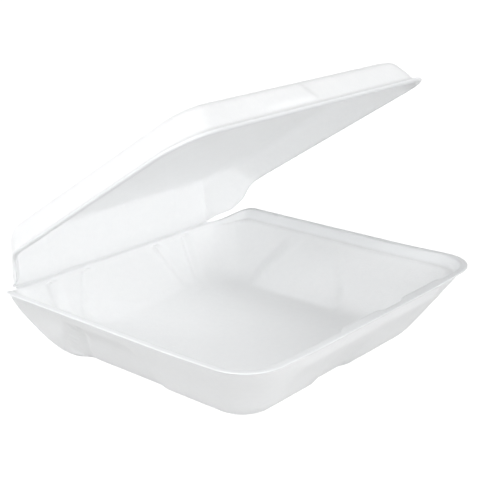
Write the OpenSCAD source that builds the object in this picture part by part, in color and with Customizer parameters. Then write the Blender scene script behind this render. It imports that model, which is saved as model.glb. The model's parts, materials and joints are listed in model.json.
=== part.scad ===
// Foam take-out container: a deep square tray and a shallow lid, moulded from one sheet of
// white foam and folded along a pressed crease at the back.
// Millimetres. The tray stands on Z = 0, the crease runs along X at the back (+Y),
// and the lid is drawn open, turned about the crease.

/* [Tray] */
// Width over the rim, along the crease
tray_w = 203; // [150:1:260]
// Depth from the crease to the front of the rim
tray_d = 191; // [140:1:250]
// Height of the rim above the table
tray_h = 41; // [28:0.5:60]
// Thickness of the foam sheet
foam_t = 2.4; // [1.8:0.1:4]

/* [Rim] */
// Width of the flat lip around the rim
lip_w = 3.6; // [2:0.1:8]
// Thickness of the pressed lip
lip_t = 2.1; // [1.2:0.1:3]
// How far the crease lies below the rim
crease_drop = 9; // [5:0.5:14]
// How far the two front corners rise above the rest of the rim
corner_lift = 1; // [0:0.1:3]
// Outer corner radius of the rim, in plan
corner_r = 22; // [14:1:32]

/* [Walls] */
// How far the side walls lean in, per millimetre of height
side_lean = 0.70; // [0.4:0.01:0.9]
// How far the front wall leans in, per millimetre of height
front_lean = 0.64; // [0.4:0.01:0.9]
// How far the hinge wall leans in, per millimetre of height
hinge_lean = 0.65; // [0.4:0.01:0.9]
// Width of the stacking step under the rim
step_w = 1.3; // [0.4:0.1:3]
// Depth of the stacking step below the rim
step_drop = 7; // [4:0.5:12]

/* [Reliefs] */
// Depth of the four flutes in the hinge wall
flute_depth = 1.4; // [0.5:0.1:2.5]
// Half width of a flute
flute_half = 4.6; // [3:0.1:7]
// How far the side and front panels are pressed in
panel_depth = 1.9; // [0.5:0.1:3]
// How far the foot of each side wall swells out behind its panel
rear_swell = 3; // [0:0.1:5]
// Height of the two lock lugs above the front rim
lug_lift = 0.9; // [0.3:0.1:1.5]
// How far the lock lugs reach in from the front rim
lug_reach = 3.6; // [1:0.1:5]

/* [Lid] */
// Height of the lid above the rim
lid_h = 19; // [10:0.5:40]
// How far the lid's side walls lean in, per millimetre of height
lid_side_lean = 0.80; // [0.3:0.01:1]
// How far the lid's front wall leans in, per millimetre of height
lid_front_lean = 0.28; // [0.1:0.01:1]
// How far the lid's hinge wall leans in, per millimetre of height
lid_hinge_lean = 0.52; // [0.3:0.01:1]
// How far the panel in the front of the lid stands out
lid_panel_rise = 1.3; // [0:0.1:2.5]
// Corner radius of the lid's lip, in plan
lid_corner_r = 22; // [16:1:36]
// How far the lid stands open
open_angle = 32.5; // [0:0.5:180]

/* [Hidden] */

// The crease, which is the hinge axis
crease_y = tray_d / 2;
crease_z = tray_h - crease_drop;
// Running gap between tray and lid, at the closed rim and along the crease
rim_gap = 0.3;
crease_gap = 0.6;
// Level of the lid's lip and of the lid's top
seat_z = tray_h + corner_lift + rim_gap;
top_z = tray_h + lid_h;
foam_white = [0.95, 0.955, 0.95];

// Blend helpers
function lerp(a, b, t) = a + (b - a) * t;
function clamp(t) = min(1, max(0, t));
function soft(t) = clamp(t) * clamp(t) * (3 - 2 * clamp(t));
function hump(t) = abs(t) >= 1 ? 0 : pow(1 - t * t, 2);
// 1 between two edges, with soft flanks of the given width outside them
function plateau(v, low, high, flank) = soft((v - low) / flank + 1) * soft((high - v) / flank + 1);

// Stations along the walls: each one runs from its place at the rim to its place at the floor.
// The hinge wall's stations follow the flutes, the side walls' stations follow the panel's edges.
flutes = [[28, 38], [54.5, 50]];
flute_offsets = [-5, -2.5, 0, 2.5, 5];
hinge_half = concat(
    [[13, 16]],
    [for (o = flute_offsets) [flutes[0][0] + o, flutes[0][1] + o]],
    [[41, 44]],
    [for (o = flute_offsets) [flutes[1][0] + o, flutes[1][1] + o]],
    [[69, 55.6]]
);
hinge_last = len(hinge_half) - 1;
hinge_st = concat(
    [for (i = [hinge_last : -1 : 0]) hinge_half[i]],
    [[0, 0]],
    [for (p = hinge_half) [-p[0], -p[1]]]
);
// Back edge and front edge of the panel in each side wall, at the rim and at the floor
panel_back = [25, 47];
panel_front = [2.4, -17.5];
side_st = concat(
    [[61, 57.4], [47, 55.6]],
    [for (o = [7, 4.5, 2, 0, -2, -4.5, -7]) [panel_back[0] + o, panel_back[1] + o]],
    [[10.5, 14]],
    [for (o = [3.4, 1.2, -1.2, -3.4]) [panel_front[0] + o, panel_front[1] + o]],
    [[-14, -27], [-28, -34], [-43, -41], [-58, -48]]
);
side_last = len(side_st) - 1;
// Front wall: the lock lugs' ends and the panel's edges fall on stations
front_x = concat(
    [-70, -62, -54, -45, -36, -30, -27, -24, -18, -10, -2],
    [3, 6, 9, 17, 23, 26, 29, 36, 45, 53, 59, 62, 66, 72]
);
front_narrow = 0.7;
arc_steps = 8;

// Share of the drop to the crease: none along the sides, all of it along the hinge.
// The distance is measured back from the crease, on the level's own hinge side.
dip_length = 21;
function dip(back) = soft(1 - back / dip_length);

// Lift of the rim towards the two front corners
function lift(x, y) = corner_lift * soft((abs(x) - 45) / 50) * soft((-y - 35) / 55);

// Rows that describe one level of a shell:
// [side inset, front inset, hinge inset, side level, hinge level, corner radius, depth 0..1, lift 0..1]
function row(ix, iy, ih, zs, zh, r, k, up) = [ix, iy, ih, zs, zh, r, k, up];

// One closed ring of a shell, anticlockwise from the right end of the hinge wall.
// The kind picks the reliefs: 0 tray, 1 lid.
function ring(g, kind) =
    let (
        ax = tray_w / 2 - g[0],
        yf = -tray_d / 2 + g[1],
        yh = tray_d / 2 - g[2],
        zs = g[3],
        zh = g[4],
        r = g[5],
        k = g[6],
        up = g[7]
    )
    concat(
        [for (s = hinge_st)
            let (x = lerp(s[0], s[1], k) * min(1, (ax - r - 0.8) / lerp(hinge_st[0][0], hinge_st[0][1], k)))
            [x, yh - hinge_relief(x, k, kind), zh]],
        corner(-ax + r, yh - r, yh, g, 90, true, kind),
        [for (s = side_st)
            let (y = place_side(s, k, yf + r, yh - r))
            [-ax + side_relief(y, k, kind), y, zs + up * lift(ax, y)]],
        corner(-ax + r, yf + r, yh, g, 180, false, kind),
        [for (x0 = front_x)
            let (x = x0 * min(lerp(1, front_narrow, k), (ax - r - 0.8) / front_x[len(front_x) - 1]))
            [x, yf + front_relief(x, k, kind), zs + up * lift(x, yf)]],
        corner(ax - r, yf + r, yh, g, 270, false, kind),
        [for (i = [side_last : -1 : 0])
            let (y = place_side(side_st[i], k, yf + r, yh - r))
            [ax - side_relief(y, k, kind), y, zs + up * lift(ax, y)]],
        corner(ax - r, yh - r, yh, g, 0, true, kind)
    );

// Keeps the side stations on the straight part of their ring
function place_side(s, k, low, high) =
    let (
        y = lerp(s[0], s[1], k),
        first = lerp(side_st[0][0], side_st[0][1], k),
        last = lerp(side_st[side_last][0], side_st[side_last][1], k)
    )
    y > 0 ? y * min(1, (high - 0.8) / first) : y * min(1, (low + 0.8) / last);

// One corner of a ring. The two rear corners come down to the crease and carry the swelling on.
function corner(cx, cy, yh, g, start, rear, kind) =
    [for (i = [0 : arc_steps])
        let (
            a = start + 90 * i / arc_steps,
            out = rear && kind == 0 ? rear_swell * swell(tray_d, g[6]) * cos(a) * abs(cos(a)) : 0,
            x = cx + g[5] * cos(a),
            y = cy + g[5] * sin(a),
            z = g[3] + g[7] * lift(x, y)
        )
        [x + out, y, rear ? lerp(z, g[4], dip(yh - y)) : z]];

// Reliefs, positive into the hollow. Depth k is 0 at the rim and 1 at the floor or top.
function wall_fade(k) = soft((k - 0.12) / 0.12) * (1 - soft((k - 0.86) / 0.14));
function flute(x, k, f) = hump((abs(x) - lerp(f[0], f[1], k)) / flute_half);
function hinge_relief(x, k, kind) =
    kind == 0
        ? -flute_depth * wall_fade(k) * max(flute(x, k, flutes[0]), flute(x, k, flutes[1]))
        : 1.2 * wall_fade(k) * plateau(x, -50, 50, 4);
function side_relief(y, k, kind) =
    kind == 1 ? 0 :
    panel_depth * soft((k - 0.1) / 0.8) * (1 - soft((k - 0.92) / 0.08))
        * plateau(y, lerp(panel_front[0], panel_front[1], k), lerp(panel_back[0], panel_back[1], k), 3)
    - 1.1 * wall_fade(k) * hump((y - lerp(panel_back[0], panel_back[1], k)) / 5.5)
    - rear_swell * swell(y, k);
// Swelling of the side walls between the panel and the rear corner
function swell(y, k) = soft((k - 0.15) / 0.7) * soft((y - lerp(panel_back[0], panel_back[1], k)) / 6);
function front_relief(x, k, kind) =
    kind == 0
        ? panel_depth * soft((k - 0.3) / 0.6) * (1 - soft((k - 0.92) / 0.08)) * plateau(x, -13, 13, 4)
        : -lid_panel_rise * wall_fade(k) * plateau(x, -38, lerp(-2, -9, k), 4);

// Lock lugs on the front rim, seen in plan
function lug(x) = max(plateau(x, -25, 4, 4), plateau(x, 28, 60, 4));

// A shell's levels, from the middle of its hollow side over the rim to the middle of its back
wall_in = lip_w + 5.1;
wall_out = wall_in - foam_t;
wall_top = tray_h - step_drop;
hinge_in = 5.7;
hinge_out = 4.5;
hinge_top = crease_z - 2.6;

function tray_wall(z, zh, skin, k) =
    let (
        base = skin == 0 ? wall_in : wall_out,
        top = skin == 0 ? wall_top : wall_top - 0.8,
        hbase = skin == 0 ? hinge_in : hinge_out,
        htop = skin == 0 ? hinge_top : crease_z - 5.1,
        ix = base + side_lean * (top - z)
    )
    row(ix, base + front_lean * (top - z), hbase + hinge_lean * (htop - zh), z, zh,
        (skin == 0 ? corner_r - 2.3 : corner_r) - 0.22 * ix, k, clamp((z - 20) / 20));

// A level of the rounded edge between wall and floor: out is measured on from the wall's foot
function tray_foot(foot, out, z, shrink) =
    row(foot[0] + out, foot[1] + out, foot[2] + out, z, z, foot[5] - shrink, 1, 0);

in_foot = tray_wall(11, 11, 0, 0.86);
out_foot = tray_wall(8, 8, 1, 0.9);
tray_in = [
    tray_foot(in_foot, 30, foam_t + 0.1, 5),
    tray_foot(in_foot, 13.2, foam_t + 0.1, 2.8),
    tray_foot(in_foot, 9.2, foam_t + 0.6, 2),
    tray_foot(in_foot, 5.8, foam_t + 2.1, 1.3),
    tray_foot(in_foot, 2.8, foam_t + 4.8, 0.6),
    in_foot,
    tray_wall(17.5, 16.5, 0, 0.66),
    tray_wall(24, 21.5, 0, 0.44),
    tray_wall(30, 26.5, 0, 0.24),
    row(wall_in, wall_in, hinge_in, wall_top, hinge_top, corner_r - 4.2, 0.1, 0.6),
    row(wall_in - step_w, wall_in - step_w, 5.2, wall_top + 1, crease_z - 1.7, corner_r - 4, 0.06, 0.7)
];
tray_rim = [
    row(lip_w + 2, lip_w + 2, 4.5, tray_h - 2.4, crease_z - 0.5, corner_r - 4, 0, 1),
    row(lip_w + 1.2, lip_w + 1.2, 4, tray_h - 1, crease_z, corner_r - 4, 0, 1),
    row(lip_w + 0.7, lip_w + 0.7, 3.2, tray_h - 0.2, crease_z + 0.2, corner_r - 3.8, 0, 1),
    row(lip_w, lip_w, 2.2, tray_h, crease_z + 0.15, corner_r - 3.4, 0, 1),
    row(0.9, 0.9, crease_gap + 0.1, tray_h, crease_z, corner_r - 0.9, 0, 1),
    row(0, 0, crease_gap, tray_h - 0.8, crease_z - 0.25, corner_r, 0, 1),
    row(0, 0, crease_gap, tray_h - lip_t + 0.4, crease_z - 0.7, corner_r, 0, 1),
    row(0.6, 0.6, 1.6, tray_h - lip_t - 0.2, crease_z - 1.3, corner_r - 0.4, 0, 1),
    row(2.6, 2.4, 2.6, tray_h - lip_t - 0.6, crease_z - 2.1, corner_r - 1.4, 0, 1),
    row(3.6, 3.2, 3.2, tray_h - lip_t - 1.7, crease_z - 3.1, corner_r - 1.6, 0, 1)
];
tray_out = [
    row(wall_out - step_w, wall_out - step_w, 3.9, wall_top + 0.6, crease_z - 4.2, corner_r - 1.4, 0.06, 0.7),
    row(wall_out, wall_out, hinge_out, wall_top - 0.8, crease_z - 5.1, corner_r - 1.6, 0.1, 0.6),
    tray_wall(28, 23, 1, 0.3),
    tray_wall(21, 18, 1, 0.52),
    tray_wall(14, 12.5, 1, 0.74),
    out_foot,
    tray_foot(out_foot, 2.7, 4.6, 0.6),
    tray_foot(out_foot, 5.3, 2, 1.2),
    tray_foot(out_foot, 8.3, 0.5, 1.8),
    tray_foot(out_foot, 11.6, 0, 2.4),
    tray_foot(out_foot, 30, 0, 5)
];

lid_in_z = seat_z + 1.9;
lid_out_z = seat_z + 4.5;
function lid_wall(z, zh, skin, k) =
    let (
        ix = (skin == 0 ? 5.4 + lid_side_lean * (z - lid_in_z) : 4.6 + lid_side_lean * (z - lid_out_z)),
        iy = (skin == 0 ? 5.0 + lid_front_lean * (z - lid_in_z) : 3.9 + lid_front_lean * (z - lid_out_z)),
        ih = (skin == 0 ? 4.0 : 1.2) + lid_hinge_lean * (zh - (crease_z + (skin == 0 ? 6.6 : 7.6)))
    )
    row(ix, iy, ih, z, zh, lid_corner_r - (skin == 0 ? 4.9 : 2) - 0.12 * ix, k, 0);
function lid_shoulder(foot, out, z, shrink) =
    row(foot[0] + out, foot[1] + out, foot[2] + out, z, z, foot[5] - shrink, 1, 0);

under_z = top_z - foam_t + 0.1;
in_shoulder = lid_wall(under_z - 2.7, under_z - 3.7, 0, 0.82);
out_shoulder = lid_wall(top_z - 2.8, top_z - 3.6, 1, 0.84);
lid_in = [
    lid_shoulder(in_shoulder, 34, under_z, 6),
    lid_shoulder(in_shoulder, 9.4, under_z, 2.4),
    lid_shoulder(in_shoulder, 5.3, under_z - 0.3, 1.6),
    lid_shoulder(in_shoulder, 2.2, under_z - 1.1, 0.8),
    in_shoulder,
    lid_wall(seat_z + 8.7, crease_z + 16, 0, 0.56),
    lid_wall(seat_z + 5.2, crease_z + 11, 0, 0.3)
];
lid_rim = [
    row(5.4, 5.0, 4.0, lid_in_z, crease_z + 6.6, lid_corner_r - 5, 0, 0),
    row(4.4, 4.3, 2.6, seat_z + 0.5, crease_z + 4.6, lid_corner_r - 4.2, 0, 0),
    row(3.4, 3.4, 1.6, seat_z, crease_z + 2.6, lid_corner_r - 3.4, 0, 0),
    row(0.7, 0.7, 0.4, seat_z + 0.1, crease_z + 0.6, lid_corner_r - 0.7, 0, 0),
    row(0, 0, 0.1, seat_z + 0.9, crease_z + 0.45, lid_corner_r, 0, 0),
    row(0, 0, -0.25, seat_z + 1.6, crease_z + 0.6, lid_corner_r, 0, 0),
    row(0.6, 0.6, -0.3, seat_z + lip_t + 0.2, crease_z + 1.6, lid_corner_r - 0.6, 0, 0),
    row(2.6, 2.4, -0.2, seat_z + lip_t + 0.4, crease_z + 3.2, lid_corner_r - 1.6, 0, 0),
    row(3.6, 3.4, 0.2, seat_z + lip_t + 1.1, crease_z + 5.4, lid_corner_r - 1.8, 0, 0)
];
lid_out = [
    row(4.6, 3.9, 1.2, lid_out_z, crease_z + 7.6, lid_corner_r - 2, 0, 0),
    lid_wall(seat_z + 7.7, crease_z + 12.5, 1, 0.3),
    lid_wall(seat_z + 11.2, crease_z + 17.5, 1, 0.56),
    out_shoulder,
    lid_shoulder(out_shoulder, 2.6, top_z - 1, 0.8),
    lid_shoulder(out_shoulder, 6, top_z - 0.2, 1.6),
    lid_shoulder(out_shoulder, 10.4, top_z, 2.4),
    lid_shoulder(out_shoulder, 34, top_z, 6)
];

// Raises and widens the rim's inner edge where the lock lugs stand
function with_lugs(points, rise, reach) =
    [for (p = points)
        let (w = p[1] < -tray_d / 2 + 12 ? lug(p[0]) : 0)
        [p[0], p[1] + reach * w, p[2] + rise * w]];
// Draws the outside of the front wall out to the rim between the lugs' ends
function with_bulge(points, out) =
    [for (p = points)
        let (w = p[1] < -tray_d / 2 + 12 ? plateau(p[0], -58, 58, 7) : 0)
        [p[0], p[1] - out * w, p[2]]];

function middle(z) = [2.5, 1.5, z];

function tray_rings() = concat(
    [for (g = tray_in) ring(g, 0)],
    [with_lugs(ring(tray_rim[0], 0), 0.6, 0.6 * lug_reach)],
    [with_lugs(ring(tray_rim[1], 0), 1.2 * lug_lift, lug_reach)],
    [with_lugs(ring(tray_rim[2], 0), 1.2 * lug_lift, 0.8 * lug_reach)],
    [with_lugs(ring(tray_rim[3], 0), 0.4 * lug_lift, 0.2 * lug_reach)],
    [for (i = [4 : 6]) ring(tray_rim[i], 0)],
    [with_bulge(ring(tray_rim[7], 0), 0.2)],
    [with_bulge(ring(tray_rim[8], 0), 1.5)],
    [with_bulge(ring(tray_rim[9], 0), 1.9)],
    [with_bulge(ring(tray_out[0], 0), 1.6)],
    [with_bulge(ring(tray_out[1], 0), 1.2)],
    [for (i = [2 : len(tray_out) - 1]) ring(tray_out[i], 0)]
);

function lid_rings() = concat(
    [for (g = lid_in) ring(g, 1)],
    [for (g = lid_rim) ring(g, 1)],
    [for (g = lid_out) ring(g, 1)]
);

// A closed shell: rings joined by triangles, with a fan of triangles at each end
module shell(rings, first, last, flip) {
    n = len(rings[0]);
    m = len(rings);
    points = concat([first], [for (s = rings) each s], [last]);
    end = len(points) - 1;
    fan_in = [for (i = [0 : n - 1]) [0, 1 + i, 1 + (i + 1) % n]];
    fan_out = [for (i = [0 : n - 1]) [end, 1 + (m - 1) * n + (i + 1) % n, 1 + (m - 1) * n + i]];
    skin = [for (j = [0 : m - 2]) for (i = [0 : n - 1])
        let (
            a = 1 + j * n + i,
            b = 1 + j * n + (i + 1) % n,
            c = a + n,
            d = b + n
        )
        each [[a, c, b], [b, c, d]]];
    faces = concat(fan_in, skin, fan_out);
    polyhedron(points, flip ? [for (f = faces) [f[2], f[1], f[0]]] : faces, convexity = 8);
}

// The deep tray, with flutes at the hinge wall and pressed panels in the other walls
module base_tray() {
    color(foam_white)
        shell(tray_rings(), middle(foam_t + 0.1), middle(0), true);
}

// The shallow lid, turned open about the crease
module lid() {
    color(foam_white)
        translate([0, crease_y, crease_z])
            rotate([-open_angle, 0, 0])
                translate([0, -crease_y, -crease_z])
                    shell(lid_rings(), middle(under_z), middle(top_z), false);
}

base_tray();
lid();
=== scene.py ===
import json
import math
from collections import namedtuple

import bmesh
import bpy
from mathutils import Matrix, Vector


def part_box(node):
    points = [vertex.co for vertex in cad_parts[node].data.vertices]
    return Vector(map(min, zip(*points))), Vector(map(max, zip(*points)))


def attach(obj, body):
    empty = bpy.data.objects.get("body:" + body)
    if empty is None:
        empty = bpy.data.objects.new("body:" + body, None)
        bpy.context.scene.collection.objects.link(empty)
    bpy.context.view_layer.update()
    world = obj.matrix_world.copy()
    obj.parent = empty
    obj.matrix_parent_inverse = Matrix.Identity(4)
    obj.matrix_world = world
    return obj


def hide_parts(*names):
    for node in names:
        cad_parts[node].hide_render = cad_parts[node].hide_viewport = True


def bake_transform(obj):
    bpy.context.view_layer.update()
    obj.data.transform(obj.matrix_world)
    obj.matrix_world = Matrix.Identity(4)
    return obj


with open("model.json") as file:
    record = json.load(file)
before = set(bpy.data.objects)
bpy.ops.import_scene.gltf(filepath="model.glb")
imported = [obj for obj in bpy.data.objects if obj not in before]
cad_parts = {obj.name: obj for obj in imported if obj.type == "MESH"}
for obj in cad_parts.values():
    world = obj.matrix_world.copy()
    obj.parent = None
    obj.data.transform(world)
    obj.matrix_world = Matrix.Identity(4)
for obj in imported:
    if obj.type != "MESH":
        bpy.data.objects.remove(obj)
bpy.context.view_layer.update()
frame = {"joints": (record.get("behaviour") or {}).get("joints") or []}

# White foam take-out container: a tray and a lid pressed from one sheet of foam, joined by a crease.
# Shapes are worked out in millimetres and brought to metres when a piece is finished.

MM = 0.001
lid_hinge = frame["joints"][0]
CREASE_Y, CREASE_Z = (value / MM for value in lid_hinge["pos_m"][1:])
OPEN_ANGLE = -math.radians(lid_hinge["range_deg"][0])
tray_low, tray_high = (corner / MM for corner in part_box("base_tray"))
HALF_W = tray_high.x
HALF_D = -tray_low.y

# The tray. The rim dips to the crease at the end of its sides and lifts a little at the front corners.
FOAM = 2.4
RIM_Z = CREASE_Z + 9
LIP_RADIUS = 22
CORNER_LIFT = 1.0
TRAY_DIP = 21
SIDE_LEAN, FRONT_LEAN, HINGE_LEAN = 0.70, 0.64, 0.65
FLOOR_Z = 2.5
TRAY_CUTS = {"hinge": 131, "side": 123, "front": 79}

# The lid, as it lies closed. Its rear corners are tucked down beside the crease.
LID_RADIUS = 22
SEAT_Z = RIM_Z + 1.3
TOP_Z = RIM_Z + 19
LID_DIP = 45
LID_TUCK = 4
LID_SIDE_LEAN, LID_FRONT_LEAN, LID_HINGE_LEAN = 0.80, 0.28, 0.52
LID_CUTS = {"hinge": 71, "side": 49, "front": 63}

# One level of a pressed shell: insets from the rim, heights along the sides and along the hinge,
# corner radius, depth down the wall, share of the corner lift, how much the foam is greyed (partly for
# being pressed flat, partly as painted shade), the lugs' rise and reach, the flush front, and whether its
# points are merged two by two
Level = namedtuple(
    "Level",
    "side front hinge z hinge_z radius depth lift pressed rise reach flush merge",
    defaults=(0, 0, 0, 0, 0, 0, False),
)


def mix(a, b, share):
    return a + (b - a) * share


def soft(share):
    """Eases from 0 to 1 while the share does."""
    share = min(1, max(0, share))
    return share * share * (3 - 2 * share)


def plateau(value, low, high, flank):
    """1 from low to high, easing to 0 over a flank on each side."""
    return soft((value - low) / flank + 1) * soft((high - value) / flank + 1)


# Pressed reliefs of the tray. Depth is 0 at the rim and 1 at the floor.
# Flutes and panel edges are given at the rim and at the floor.
FLUTES = ((-56.5, -59), (-29.4, -44), (27, 38), (54, 49))
FLUTE_HALF_WIDTH, FLUTE_DEPTH = 5.2, 4.2
LUGS = ((-25, 4), (28, 60))
LUG_FLANK = 4
PANEL_BACK = 25, 47
PANEL_FRONT = {-1: (-7.5, -12.6), 1: (2.4, -17.5)}
SIDE_PANEL_DEPTH, FRONT_PANEL_DEPTH, REAR_SWELL = 2.4, 2.8, 3
RIB_GROOVE = {-1: 3, 1: 0.8}
RIB_HALF_WIDTH, GROOVE_HALF_WIDTH = 3.8, 2.6
LID_PANEL_DEPTH, LID_PANEL_RISE = 1.6, 1.3


def wall_fade(depth):
    return soft((depth - 0.1) / 0.08) * (1 - soft((depth - 0.86) / 0.14))


def tray_hinge_wall(x, depth):
    flutes = max(1 - abs(x - mix(top, foot, depth)) / FLUTE_HALF_WIDTH for top, foot in FLUTES)
    fade = soft((depth - 0.03) / 0.09) * (1 - soft((depth - 0.86) / 0.14))
    return -FLUTE_DEPTH * fade * max(0, flutes)


def rear_swell(y, depth):
    """How far the foot swells out behind the side panel."""
    return REAR_SWELL * soft((depth - 0.15) / 0.7) * soft((y - mix(*PANEL_BACK, depth)) / 6)


def tray_side_wall(right, y, depth):
    back, front = mix(*PANEL_BACK, depth), mix(*PANEL_FRONT[right], depth)
    fade = soft((depth - 0.1) / 0.4) * (1 - soft((depth - 0.95) / 0.05))
    panel = SIDE_PANEL_DEPTH * fade * plateau(y, front, back, 2.6)
    groove = max(0, 1 - abs(abs(y - back) - RIB_HALF_WIDTH) / GROOVE_HALF_WIDTH)
    return panel + RIB_GROOVE[right] * wall_fade(depth) * groove - rear_swell(y, depth)


def tray_front_wall(x, depth):
    fade = soft((depth - 0.35) / 0.5) * (1 - soft((depth - 0.95) / 0.05))
    return FRONT_PANEL_DEPTH * fade * plateau(x, -17, 7, 5)


def tray_rear_corner(depth):
    return rear_swell(HALF_D, depth)


def lid_hinge_wall(x, depth):
    return LID_PANEL_DEPTH * wall_fade(depth) * plateau(x, -50, 50, 3)


def lid_side_wall(right, y, depth):
    return 0


def lid_front_wall(x, depth):
    ends = soft((x + 50) / 24) * soft((mix(-2, -9, depth) - x) / 2.4 + 1)
    return -LID_PANEL_RISE * wall_fade(depth) * ends


def lid_rear_corner(depth):
    return 0


# The rear corners are cut off slantwise beside the crease, and the cut's edges are eased
Trim = namedtuple("Trim", "slant reach taper")
TRIM_EASE = 2
TRAY_TRIM = Trim(Vector((0.72, 0.694)), 124.2, 0.5)
LID_TRIM = Trim(Vector((0.905, 0.427)), 113.8, 0.6)


def trimmed(x, y, inset, trim):
    over = abs(x) * trim.slant.x + y * trim.slant.y - trim.reach + trim.taper * inset
    eased = (over + TRIM_EASE) ** 2 / (4 * TRIM_EASE)
    cut = over if over > TRIM_EASE else eased if over > -TRIM_EASE else 0
    return x - math.copysign(trim.slant.x * cut, x), y - trim.slant.y * cut


Reliefs = namedtuple("Reliefs", "hinge side front rear_corner trim dip tuck")
TRAY_RELIEFS = Reliefs(
    tray_hinge_wall, tray_side_wall, tray_front_wall, tray_rear_corner, TRAY_TRIM, TRAY_DIP, 0
)
LID_RELIEFS = Reliefs(
    lid_hinge_wall, lid_side_wall, lid_front_wall, lid_rear_corner, LID_TRIM, LID_DIP, LID_TUCK
)


def tray_wall(top, lean_radius, z, hinge_z, depth, flush):
    """A level of the tray's sloping walls, leaning in from the level that they start at."""
    side = top.side + SIDE_LEAN * (top.z - z)
    return Level(
        side,
        top.front + FRONT_LEAN * (top.z - z),
        top.hinge + HINGE_LEAN * (top.hinge_z - hinge_z),
        z,
        hinge_z,
        lean_radius - 0.22 * side,
        depth,
        min(1, max(0, (z - 20) / 20)),
        flush=flush * (1 - soft((depth - 0.1) / 0.6)),
    )


def beyond(foot, out, z, shrink, depth, merge=False):
    """A level of the rounded edge at a wall's foot or shoulder, or of the flat that it runs into."""
    insets = foot.side + out, foot.front + out, foot.hinge + out
    return Level(*insets, z, z, foot.radius - shrink, depth, merge=merge)


def tray_inside():
    """The food side of the tray, from the edge of the lip down to the middle of the floor."""
    r = LIP_RADIUS
    # The lip's levels grey the foam, partly for being pressed flat and partly as painted shade on the lip and
    # the band below it.
    lip = [
        Level(0.05, 0.05, 0.6, RIM_Z - 0.2, CREASE_Z - 0.15, r, 0, 1, 1),
        Level(0.3, 0.3, 0.8, RIM_Z, CREASE_Z, r - 0.3, 0, 1, 1),
        Level(1, 1, 1.2, RIM_Z, CREASE_Z + 0.02, r - 1, 0, 1, 1),
        Level(3.4, 3.4, 2.2, RIM_Z, CREASE_Z + 0.15, r - 3.2, 0, 1, 0.9, 0.1, 0.5),
        Level(4.2, 4.2, 3.2, RIM_Z - 0.3, CREASE_Z + 0.2, r - 3.8, 0, 1, 0.9, 0.45, 1.8),
        Level(4.6, 4.6, 4, RIM_Z - 1.2, CREASE_Z, r - 4, 0, 1, 0.9, 0.5, 2.2),
        Level(5.2, 5.2, 4.4, RIM_Z - 3.4, CREASE_Z - 0.5, r - 4, 0, 1, 0.9, 0.2, 1.2, 0.4),
        Level(5.6, 5.6, 4.8, RIM_Z - 5, CREASE_Z - 1.1, r - 4, 0.03, 0.9, 0.8, flush=0.8),
        Level(6.3, 6.3, 5.1, RIM_Z - 5.8, CREASE_Z - 1.6, r - 4, 0.06, 0.8, 0.4, flush=1),
        Level(7.9, 7.9, 5.4, RIM_Z - 6.2, CREASE_Z - 2.1, r - 4.1, 0.08, 0.7, flush=1.2),
        Level(8.6, 8.6, 5.7, RIM_Z - 6.8, CREASE_Z - 2.6, r - 4.2, 0.1, 0.6, flush=1.4),
    ]
    heights = (
        (32.6, 28.2, 0.15), (30, 26.5, 0.24), (27, 24, 0.34), (24, 21.5, 0.44),
        (20.5, 19, 0.55), (17.5, 16.5, 0.66), (14, 13.5, 0.76), (11, 11, 0.86),
    )
    walls = [tray_wall(lip[-1], r - 2.3, *height, 1.4) for height in heights]
    foot = walls[-1]
    return lip + walls + [
        beyond(foot, 2.8, FLOOR_Z + 4.7, 0.6, 0.92),
        beyond(foot, 5.8, FLOOR_Z + 2, 1.3, 0.95),
        beyond(foot, 9.2, FLOOR_Z + 0.5, 2, 0.98),
        beyond(foot, 13.2, FLOOR_Z, 2.8, 1),
        beyond(foot, 20, FLOOR_Z, 3.5, 1, True),
        beyond(foot, 30, FLOOR_Z, 5, 1, True),
        beyond(foot, 42, FLOOR_Z, 6, 1, True),
    ]


def tray_outside():
    """The back of the tray, from the edge of the lip under it and down to the middle of the foot."""
    r = LIP_RADIUS
    # The lip's first levels grey the foam under the lip's edge, partly for being pressed flat and partly as
    # painted shade.
    lip = [
        Level(0.1, 0.1, 0.7, RIM_Z - 0.8, CREASE_Z - 0.75, r, 0, 1, 1),
        Level(0.6, 0.6, 1.6, RIM_Z - 1.2, CREASE_Z - 1.3, r - 0.4, 0, 1, 1),
        Level(2.6, 2.6, 2.6, RIM_Z - 1.9, CREASE_Z - 2.1, r - 1.4, 0, 1, 0.6, flush=1.4),
        Level(3.2, 3.2, 3.1, RIM_Z - 2.6, CREASE_Z - 2.9, r - 1.6, 0, 1, flush=1.7),
        Level(3.7, 3.7, 3.5, RIM_Z - 3.6, CREASE_Z - 3.6, r - 1.6, 0.03, 0.9, flush=2),
        Level(4.6, 4.6, 3.9, RIM_Z - 5.1, CREASE_Z - 4.3, r - 1.6, 0.06, 0.8, flush=2.4),
        Level(5.6, 5.6, 4.3, RIM_Z - 6.7, CREASE_Z - 4.8, r - 1.9, 0.08, 0.7, flush=2.8),
        Level(6.5, 6.5, 4.5, RIM_Z - 8.1, CREASE_Z - 5.1, r - 2, 0.1, 0.6, flush=3.2),
    ]
    heights = (
        (30.6, 25, 0.2), (28, 23, 0.3), (24.5, 20.5, 0.41), (21, 18, 0.52),
        (17.5, 15.2, 0.63), (14, 12.5, 0.74), (11, 10.2, 0.82), (8, 8, 0.9),
    )
    walls = [tray_wall(lip[-1], r, *height, 3.2) for height in heights]
    foot = walls[-1]
    return lip + walls + [
        beyond(foot, 2.7, 4.6, 0.6, 0.94),
        beyond(foot, 5.3, 2, 1.2, 0.96),
        beyond(foot, 8.3, 0.5, 1.8, 0.98),
        beyond(foot, 11.6, 0, 2.4, 1),
        beyond(foot, 18, 0, 3.5, 1, True),
        beyond(foot, 28, 0, 5, 1, True),
        beyond(foot, 40, 0, 6, 1, True),
    ]


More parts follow.
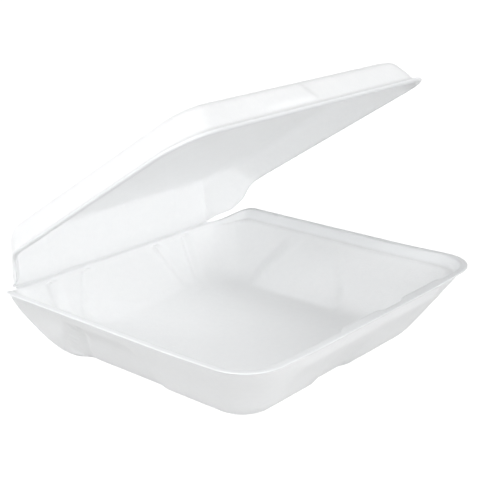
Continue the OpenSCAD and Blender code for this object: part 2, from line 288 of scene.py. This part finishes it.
def lid_wall(start, z, hinge_z, depth):
    """A level of the lid's walls, leaning in from the level that they start at."""
    side = start.side + LID_SIDE_LEAN * (z - start.z)
    return Level(
        side,
        start.front + LID_FRONT_LEAN * (z - start.z),
        start.hinge + LID_HINGE_LEAN * (hinge_z - start.hinge_z),
        z,
        hinge_z,
        start.radius - 0.35 * side,
        depth,
    )


def lid_outside():
    """The outside of the lid as it lies closed, from the edge of the lip up to the middle of the top."""
    r = LID_RADIUS
    # The lip's first levels grey the foam, partly for being pressed flat and partly as painted shade.
    lip = [
        Level(0.05, 0.05, -0.25, SEAT_Z + 1.6, CREASE_Z + 0.6, r, 0, 0, 1),
        Level(0.7, 0.7, -0.3, SEAT_Z + 2.2, CREASE_Z + 1.6, r - 0.6, 0, 0, 1),
        Level(2.6, 2.4, -0.2, SEAT_Z + 2.4, CREASE_Z + 3.2, r - 1.6, 0, 0, 0.6),
        Level(3.6, 3.3, 0.2, SEAT_Z + 3.1, CREASE_Z + 5.4, r - 1.8, 0, 0, 0.2),
        Level(4.6, 3.9, 1.2, SEAT_Z + 4.5, CREASE_Z + 7.6, r - 2),
    ]
    heights = (
        (SEAT_Z + 6, CREASE_Z + 10, 0.15), (SEAT_Z + 7.7, CREASE_Z + 12.5, 0.3),
        (SEAT_Z + 9.5, CREASE_Z + 15, 0.43), (SEAT_Z + 11.2, CREASE_Z + 17.5, 0.56),
        (SEAT_Z + 13, CREASE_Z + 21, 0.7), (TOP_Z - 2.8, TOP_Z - 3.6, 0.84),
    )
    walls = [lid_wall(lip[-1], *height) for height in heights]
    edge = walls[-1]
    return lip + walls + [
        beyond(edge, 2.6, TOP_Z - 1, 0.8, 1),
        beyond(edge, 6, TOP_Z - 0.2, 1.6, 1),
        beyond(edge, 10.4, TOP_Z, 2.4, 1),
        beyond(edge, 20, TOP_Z, 4, 1, True),
        beyond(edge, 34, TOP_Z, 6, 1, True),
        beyond(edge, 50, TOP_Z, 8, 1, True),
    ]


def lid_inside():
    """The food side of the lid as it lies closed, from the edge of the lip up to the middle of its hollow."""
    r = LID_RADIUS
    under = TOP_Z - FOAM + 0.1
    # The lip's first levels grey the foam, partly for being pressed flat and partly as painted shade.
    lip = [
        Level(0.6, 0.6, 0.4, SEAT_Z + 0.15, CREASE_Z + 0.6, r - 0.6, 0, 0, 1),
        Level(3.3, 3.3, 1.6, SEAT_Z, CREASE_Z + 2.6, r - 3.3, 0, 0, 0.8),
        Level(4.3, 4.2, 2.6, SEAT_Z + 0.5, CREASE_Z + 4.6, r - 4.2, 0, 0, 0.3),
        Level(5.4, 5.0, 4.0, SEAT_Z + 1.9, CREASE_Z + 6.6, r - 5),
    ]
    heights = (
        (SEAT_Z + 3.6, CREASE_Z + 8.8, 0.15), (SEAT_Z + 5.2, CREASE_Z + 11, 0.3),
        (SEAT_Z + 7, CREASE_Z + 13.5, 0.43), (SEAT_Z + 8.7, CREASE_Z + 16, 0.56),
        (SEAT_Z + 10.6, CREASE_Z + 19, 0.7), (under - 2.7, under - 3.7, 0.84),
    )
    walls = [lid_wall(lip[-1], *height) for height in heights]
    edge = walls[-1]
    return lip + walls + [
        beyond(edge, 2.2, under - 1.1, 0.8, 1),
        beyond(edge, 5.3, under - 0.3, 1.6, 1),
        beyond(edge, 9.4, under, 2.4, 1),
        beyond(edge, 19, under, 4, 1, True),
        beyond(edge, 33, under, 6, 1, True),
        beyond(edge, 49, under, 8, 1, True),
    ]


def corner_lift(x, y):
    return CORNER_LIFT * soft((abs(x) - 45) / 50) * soft((-y - 35) / 55)


def place(rim, level, radius, reliefs):
    """Where a point of the rim lies on a level of its shell, and its share of the dip to the crease."""
    half_w, front, back = HALF_W - level.side, -HALF_D + level.front, HALF_D - level.hinge
    straight_x, straight_y = HALF_W - radius, HALF_D - radius
    turn_x, turn_y = abs(rim.x) - straight_x, abs(rim.y) - straight_y
    right, rear = math.copysign(1, rim.x), rim.y > 0
    past_x, past_y = turn_x > 0.01, turn_y > 0.01
    push = Vector((0, 0, 0))
    if past_x and past_y:
        out_x = turn_x / radius
        x = right * (half_w - level.radius + level.radius * out_x)
        y = level.radius * turn_y / radius
        y = back - level.radius + y if rear else front + level.radius - y
        if rear:
            push.x = right * reliefs.rear_corner(level.depth) * out_x * out_x
    elif past_x:
        x = right * half_w
        y = mix(front + level.radius, back - level.radius, (rim.y + straight_y) / (2 * straight_y))
        push.x = -right * reliefs.side(right, y, level.depth)
    else:
        x = rim.x * (half_w - level.radius) / straight_x
        y = back if rear else front
        if rear:
            push.y = -reliefs.hinge(x, level.depth)
        else:
            lug = max(plateau(x, low, high, LUG_FLANK) for low, high in LUGS)
            push.y = reliefs.front(x, level.depth) + level.reach * lug - level.flush * plateau(x, -56, 56, 7)
            push.z = level.rise * lug
    if rear and past_x:
        x, y = trimmed(x, y, level.side, reliefs.trim)
    dip = soft(1 - (back - y) / reliefs.dip)
    z = mix(level.z + level.lift * corner_lift(x, y), level.hinge_z, dip)
    if rear and past_x:
        beside_crease = soft((y - 60) / 10) * soft((HALF_D - 4 - y) / 16) * min(1, 2 * turn_x / radius)
        z -= reliefs.tuck * beside_crease * (1 - soft(level.depth / 0.3))
    return Vector((x, y, z)) + push, dip


def extrude_loop(bm, loop):
    """The points and edges of a new loop, drawn out from a loop of edges."""
    grown = bmesh.ops.extrude_edge_only(bm, edges=loop)["geom"]
    points = [item for item in grown if isinstance(item, bmesh.types.BMVert)]
    fresh = set(points)
    sides = [item for item in grown if isinstance(item, bmesh.types.BMEdge)]
    return points, [side for side in sides if fresh.issuperset(side.verts)]


def press_shell(edge, sides, radius, reliefs, cuts):
    """A half of the container: the lip's edge, carried level by level over both sides of the form."""
    bm = bmesh.new()
    rim = bm.verts.layers.float_vector.new("rim")
    pressed = bm.verts.layers.float.new("pressed")
    bmesh.ops.create_grid(bm, x_segments=1, y_segments=1, size=1)
    bmesh.ops.scale(bm, vec=(HALF_W, HALF_D, 1), verts=bm.verts)
    bmesh.ops.bevel(
        bm, geom=bm.verts[:], offset=radius, segments=11, profile=0.5, affect="VERTICES", material=-1
    )
    straights = sorted(bm.edges, key=lambda side: -side.calc_length())[:4]
    for side in straights:
        middle = (side.verts[0].co + side.verts[1].co) / 2
        wall = "side" if abs(middle.x) > abs(middle.y) else "hinge" if middle.y > 0 else "front"
        bmesh.ops.subdivide_edges(bm, edges=[side], cuts=cuts[wall])
    bmesh.ops.delete(bm, geom=bm.faces[:], context="FACES_ONLY")
    for vert in bm.verts:
        vert[rim] = vert.co

    def settle(points, level):
        """Lays points on a level, with their greying: partly denser flattened foam, partly painted shade.
        Near the crease the lip is greyed less.
        """
        for vert in points:
            vert.co, dip = place(vert[rim], level, radius, reliefs)
            vert[pressed] = level.pressed * (1 - 0.7 * dip)

    rim_loop, rim_points = bm.edges[:], bm.verts[:]
    settle(rim_points, edge)
    for levels in sides:
        loop = rim_loop
        for level in levels:
            points, loop = extrude_loop(bm, loop)
            if level.merge:
                points.sort(key=lambda vert: math.atan2(vert[rim].y, vert[rim].x))
                bmesh.ops.weld_verts(bm, targetmap=dict(zip(points[1::2], points[::2])))
                points = points[::2]
                fresh = set(points)
                loop = [side for side in bm.edges if side.is_boundary and fresh.issuperset(side.verts)]
            settle(points, level)
        bmesh.ops.edgeloop_fill(bm, edges=loop)
    bmesh.ops.recalc_face_normals(bm, faces=bm.faces)
    return bm


def finish_piece(bm, name, finish):
    """Brings a piece to metres and rounds it off."""
    bmesh.ops.scale(bm, vec=(MM, MM, MM), verts=bm.verts)
    mesh = bpy.data.meshes.new(name)
    bm.to_mesh(mesh)
    bm.free()
    mesh.polygons.foreach_set("use_smooth", [True] * len(mesh.polygons))
    mesh.materials.append(finish)
    piece = bpy.data.objects.new(name, mesh)
    bpy.context.scene.collection.objects.link(piece)
    rounded = piece.modifiers.new("rounded", "SUBSURF")
    rounded.levels = rounded.render_levels = 1
    return piece


def foam_finish():
    """White foam: fine closed cells, a satin skin with soft waves, slightly greyer at the lips and the
    crease, partly for the denser flattened foam and partly as painted shade.
    """
    material = bpy.data.materials.new("white_foam")
    material.use_nodes = True
    nodes, links = material.node_tree.nodes, material.node_tree.links
    skin = nodes["Principled BSDF"]
    skin.inputs["Subsurface Weight"].default_value = 0.4
    skin.inputs["Subsurface Radius"].default_value = (1, 1, 1)
    skin.inputs["Subsurface Scale"].default_value = 0.0012
    skin.inputs["Specular IOR Level"].default_value = 0.25
    place_on = nodes.new("ShaderNodeTexCoord").outputs["Object"]

    def texture(kind, scale, **sockets):
        node = nodes.new(kind)
        links.new(place_on, node.inputs["Vector"])
        node.inputs["Scale"].default_value = scale
        for socket, value in sockets.items():
            node.inputs[socket].default_value = value
        return node

    cells = texture("ShaderNodeTexVoronoi", 850)
    mottle = texture("ShaderNodeTexNoise", 320, Detail=2)
    waves = texture("ShaderNodeTexNoise", 38, Detail=1)

    tint = nodes.new("ShaderNodeValToRGB")
    tint.color_ramp.elements[0].position = 0.3
    tint.color_ramp.elements[0].color = (0.945, 0.952, 0.957, 1)
    tint.color_ramp.elements[1].position = 0.7
    tint.color_ramp.elements[1].color = (0.965, 0.97, 0.972, 1)
    links.new(mottle.outputs["Fac"], tint.inputs["Fac"])
    # The grey mixed in at the lips and the crease is partly the denser flattened foam and partly painted
    # shade.
    pressed = nodes.new("ShaderNodeAttribute")
    pressed.attribute_name = "pressed"
    greyed_by_press_and_shade = nodes.new("ShaderNodeMix")
    greyed_by_press_and_shade.data_type = "RGBA"
    greyed_by_press_and_shade.inputs["B"].default_value = (0.88, 0.888, 0.895, 1)
    links.new(pressed.outputs["Fac"], greyed_by_press_and_shade.inputs["Factor"])
    links.new(tint.outputs["Color"], greyed_by_press_and_shade.inputs["A"])
    links.new(greyed_by_press_and_shade.outputs["Result"], skin.inputs["Base Color"])

    sheen = nodes.new("ShaderNodeMapRange")
    sheen.inputs["To Min"].default_value = 0.5
    sheen.inputs["To Max"].default_value = 0.68
    links.new(mottle.outputs["Fac"], sheen.inputs["Value"])
    links.new(sheen.outputs["Result"], skin.inputs["Roughness"])

    normal = None
    for node, socket, strength, distance in (
        (waves, "Fac", 0.5, 0.0016),
        (cells, "Distance", 0.3, 0.00012),
    ):
        bump = nodes.new("ShaderNodeBump")
        bump.inputs["Strength"].default_value = strength
        bump.inputs["Distance"].default_value = distance
        links.new(node.outputs[socket], bump.inputs["Height"])
        if normal:
            links.new(normal, bump.inputs["Normal"])
        normal = bump.outputs["Normal"]
    links.new(normal, skin.inputs["Normal"])
    return material


# The crease's cross-section at rest, around its axis: over the food side from the tray to the lid,
# then back along the outside. The bend is where the strip passes from the tray to the lid.
# The crease is greyed all along: partly its flattened foam, partly painted shade in the crease.
CREASE_HALF_LENGTH, CREASE_CUTS, CREASE_PRESS_AND_SHADE = 79, 60, 0.4
CREASE_SECTION = (
    (-2.6, -0.15), (-1.4, -0.02), (-0.7, 0.14), (-0.3, 0.42), (0.02, 0.9), (0.22, 1.6), (0.42, 2.4),
    (0.6, 1.5), (0.4, 0.4), (0.1, -0.25), (-0.5, -0.6), (-1.6, -0.7),
)


def make_crease(finish):
    """The flattened web of foam that runs along the crease."""
    bm = bmesh.new()
    pressed = bm.verts.layers.float.new("pressed")
    ends = [bm.verts.new((side * CREASE_HALF_LENGTH, CREASE_Y, CREASE_Z)) for side in (-1, 1)]
    bmesh.ops.subdivide_edges(bm, edges=[bm.edges.new(ends)], cuts=CREASE_CUTS)
    first, points = bm.edges[:], bm.verts[:]
    loop = first
    for number, (y, z) in enumerate(CREASE_SECTION):
        if number:
            points, loop = extrude_loop(bm, loop)
            y, z = y - CREASE_SECTION[number - 1][0], z - CREASE_SECTION[number - 1][1]
        bmesh.ops.translate(bm, vec=(0, y, z), verts=points)
    bmesh.ops.bridge_loops(bm, edges=first + loop)
    bmesh.ops.holes_fill(bm, edges=[edge for edge in bm.edges if edge.is_boundary], sides=0)
    bmesh.ops.recalc_face_normals(bm, faces=bm.faces)
    # Greys the whole crease, partly for its flattened foam and partly as painted shade.
    for vert in bm.verts:
        vert[pressed] = CREASE_PRESS_AND_SHADE
    crease = finish_piece(bm, "hinge_crease", finish)
    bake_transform(crease)


def make_container():
    finish = foam_finish()
    # Both lips' edges are fully greyed, partly for the flattened foam and partly as painted shade.
    tray_edge = Level(0, 0, 0.6, RIM_Z - 0.5, CREASE_Z - 0.45, LIP_RADIUS, 0, 1, 1)
    tray = press_shell(tray_edge, (tray_inside(), tray_outside()), LIP_RADIUS, TRAY_RELIEFS, TRAY_CUTS)
    tray = finish_piece(tray, "foam_tray", finish)
    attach(tray, "tray")
    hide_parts("base_tray")

    lid_edge = Level(0, 0, 0.1, SEAT_Z + 0.9, CREASE_Z + 0.45, LID_RADIUS, 0, 0, 1)
    lid = press_shell(lid_edge, (lid_inside(), lid_outside()), LID_RADIUS, LID_RELIEFS, LID_CUTS)
    bmesh.ops.rotate(
        lid, cent=(0, CREASE_Y, CREASE_Z), matrix=Matrix.Rotation(-OPEN_ANGLE, 3, "X"), verts=lid.verts
    )
    lid = finish_piece(lid, "foam_lid", finish)
    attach(lid, "lid")
    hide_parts("lid")
    make_crease(finish)


def seen_by_eye(nodes, links, strength):
    """The given strength for camera, mirrored and see-through rays, and none for the rest."""
    rays = nodes.new("ShaderNodeLightPath")
    total = rays.outputs["Is Camera Ray"]
    for name in ("Is Glossy Ray", "Is Transmission Ray"):
        either = nodes.new("ShaderNodeMath")
        either.operation = "MAXIMUM"
        links.new(total, either.inputs[0])
        links.new(rays.outputs[name], either.inputs[1])
        total = either.outputs[0]
    scaled = nodes.new("ShaderNodeMath")
    scaled.operation = "MULTIPLY"
    scaled.inputs[1].default_value = strength
    links.new(total, scaled.inputs[0])
    return scaled.outputs[0]


FLOOR_TONE = 0.56
FLOOR_SEEN = 0.84


def make_floor():
    """A pale floor that shows white to the camera and still takes the container's shadow."""
    bm = bmesh.new()
    bmesh.ops.create_grid(bm, x_segments=1, y_segments=1, size=30)
    mesh = bpy.data.meshes.new("studio_floor")
    bm.to_mesh(mesh)
    bm.free()
    material = bpy.data.materials.new("pale_floor")
    material.use_nodes = True
    nodes, links = material.node_tree.nodes, material.node_tree.links
    paint = nodes["Principled BSDF"]
    paint.inputs["Base Color"].default_value = (FLOOR_TONE, FLOOR_TONE, FLOOR_TONE, 1)
    paint.inputs["Roughness"].default_value = 0.9
    paint.inputs["Specular IOR Level"].default_value = 0
    paint.inputs["Emission Color"].default_value = (1, 1, 1, 1)
    links.new(seen_by_eye(nodes, links, FLOOR_SEEN), paint.inputs["Emission Strength"])
    mesh.materials.append(material)
    floor = bpy.data.objects.new("studio_floor", mesh)
    bpy.context.scene.collection.objects.link(floor)


# Each softbox: place in metres, width in metres and power in watts
SOFTBOXES = (
    ("left_softbox", (-1.35, -0.15, 0.85), 0.5, 6.8),
    ("low_front_softbox", (-0.3, -1.45, 0.32), 0.6, 7),
    ("front_left_softbox", (-0.95, -1, 0.8), 0.4, 1.6),
    ("right_softbox", (1.3, -0.5, 0.8), 0.6, 3.4),
    ("rear_left_softbox", (-0.95, 0.6, 1.05), 0.6, 6),
)
LIGHT_AIM = Vector((0, 0, 0.06))
TENT_HORIZON, TENT_TOP = 1.0, 0.05


def make_light():
    """A bright tent around the container, seen as plain white, and five softboxes."""
    world = bpy.data.worlds.new("studio")
    bpy.context.scene.world = world
    world.use_nodes = True
    nodes, links = world.node_tree.nodes, world.node_tree.links
    room = nodes["Background"]
    room.inputs["Color"].default_value = (0.98, 0.99, 1, 1)
    height = nodes.new("ShaderNodeSeparateXYZ")
    links.new(nodes.new("ShaderNodeTexCoord").outputs["Generated"], height.inputs["Vector"])
    tent = nodes.new("ShaderNodeMapRange")
    tent.inputs["To Min"].default_value = TENT_HORIZON
    tent.inputs["To Max"].default_value = TENT_TOP
    links.new(height.outputs["Z"], tent.inputs["Value"])
    links.new(tent.outputs["Result"], room.inputs["Strength"])
    backdrop = nodes.new("ShaderNodeBackground")
    backdrop.inputs["Color"].default_value = (1, 1, 1, 1)
    backdrop.inputs["Strength"].default_value = 1
    swap = nodes.new("ShaderNodeMixShader")
    links.new(seen_by_eye(nodes, links, 1), swap.inputs["Fac"])
    links.new(room.outputs["Background"], swap.inputs[1])
    links.new(backdrop.outputs["Background"], swap.inputs[2])
    links.new(swap.outputs["Shader"], nodes["World Output"].inputs["Surface"])

    for name, spot, size, power in SOFTBOXES:
        lamp = bpy.data.lights.new(name, "AREA")
        lamp.shape = "SQUARE"
        lamp.size = size
        lamp.energy = power
        holder = bpy.data.objects.new(name, lamp)
        bpy.context.scene.collection.objects.link(holder)
        holder.location = spot
        holder.rotation_euler = (LIGHT_AIM - Vector(spot)).to_track_quat("-Z", "Y").to_euler()


# The camera's place in millimetres, its azimuth, elevation and roll in degrees, and its focal length
EYE_SPOT = Vector((-420.71, -365.66, 246.96))
EYE_TURN = -49.173, 18.533, -0.333
EYE_SENSOR, EYE_LENS = 36, 80.573


def make_camera():
    azimuth, elevation, roll = (math.radians(angle) for angle in EYE_TURN)
    back = Vector((
        math.sin(azimuth) * math.cos(elevation),
        -math.cos(azimuth) * math.cos(elevation),
        math.sin(elevation),
    ))
    level = Vector((math.cos(azimuth), math.sin(azimuth), 0))
    right = level * math.cos(roll) + back.cross(level) * math.sin(roll)
    turned = Matrix((right, back.cross(right), back)).transposed().to_4x4()
    lens = bpy.data.cameras.new("eye")
    lens.sensor_width = EYE_SENSOR
    lens.lens = EYE_LENS
    camera = bpy.data.objects.new("eye", lens)
    bpy.context.scene.collection.objects.link(camera)
    camera.matrix_world = Matrix.Translation(EYE_SPOT * MM) @ turned
    bpy.context.scene.camera = camera


make_camera()
make_container()
make_floor()
make_light()
bpy.context.scene.view_settings.view_transform = "Standard"
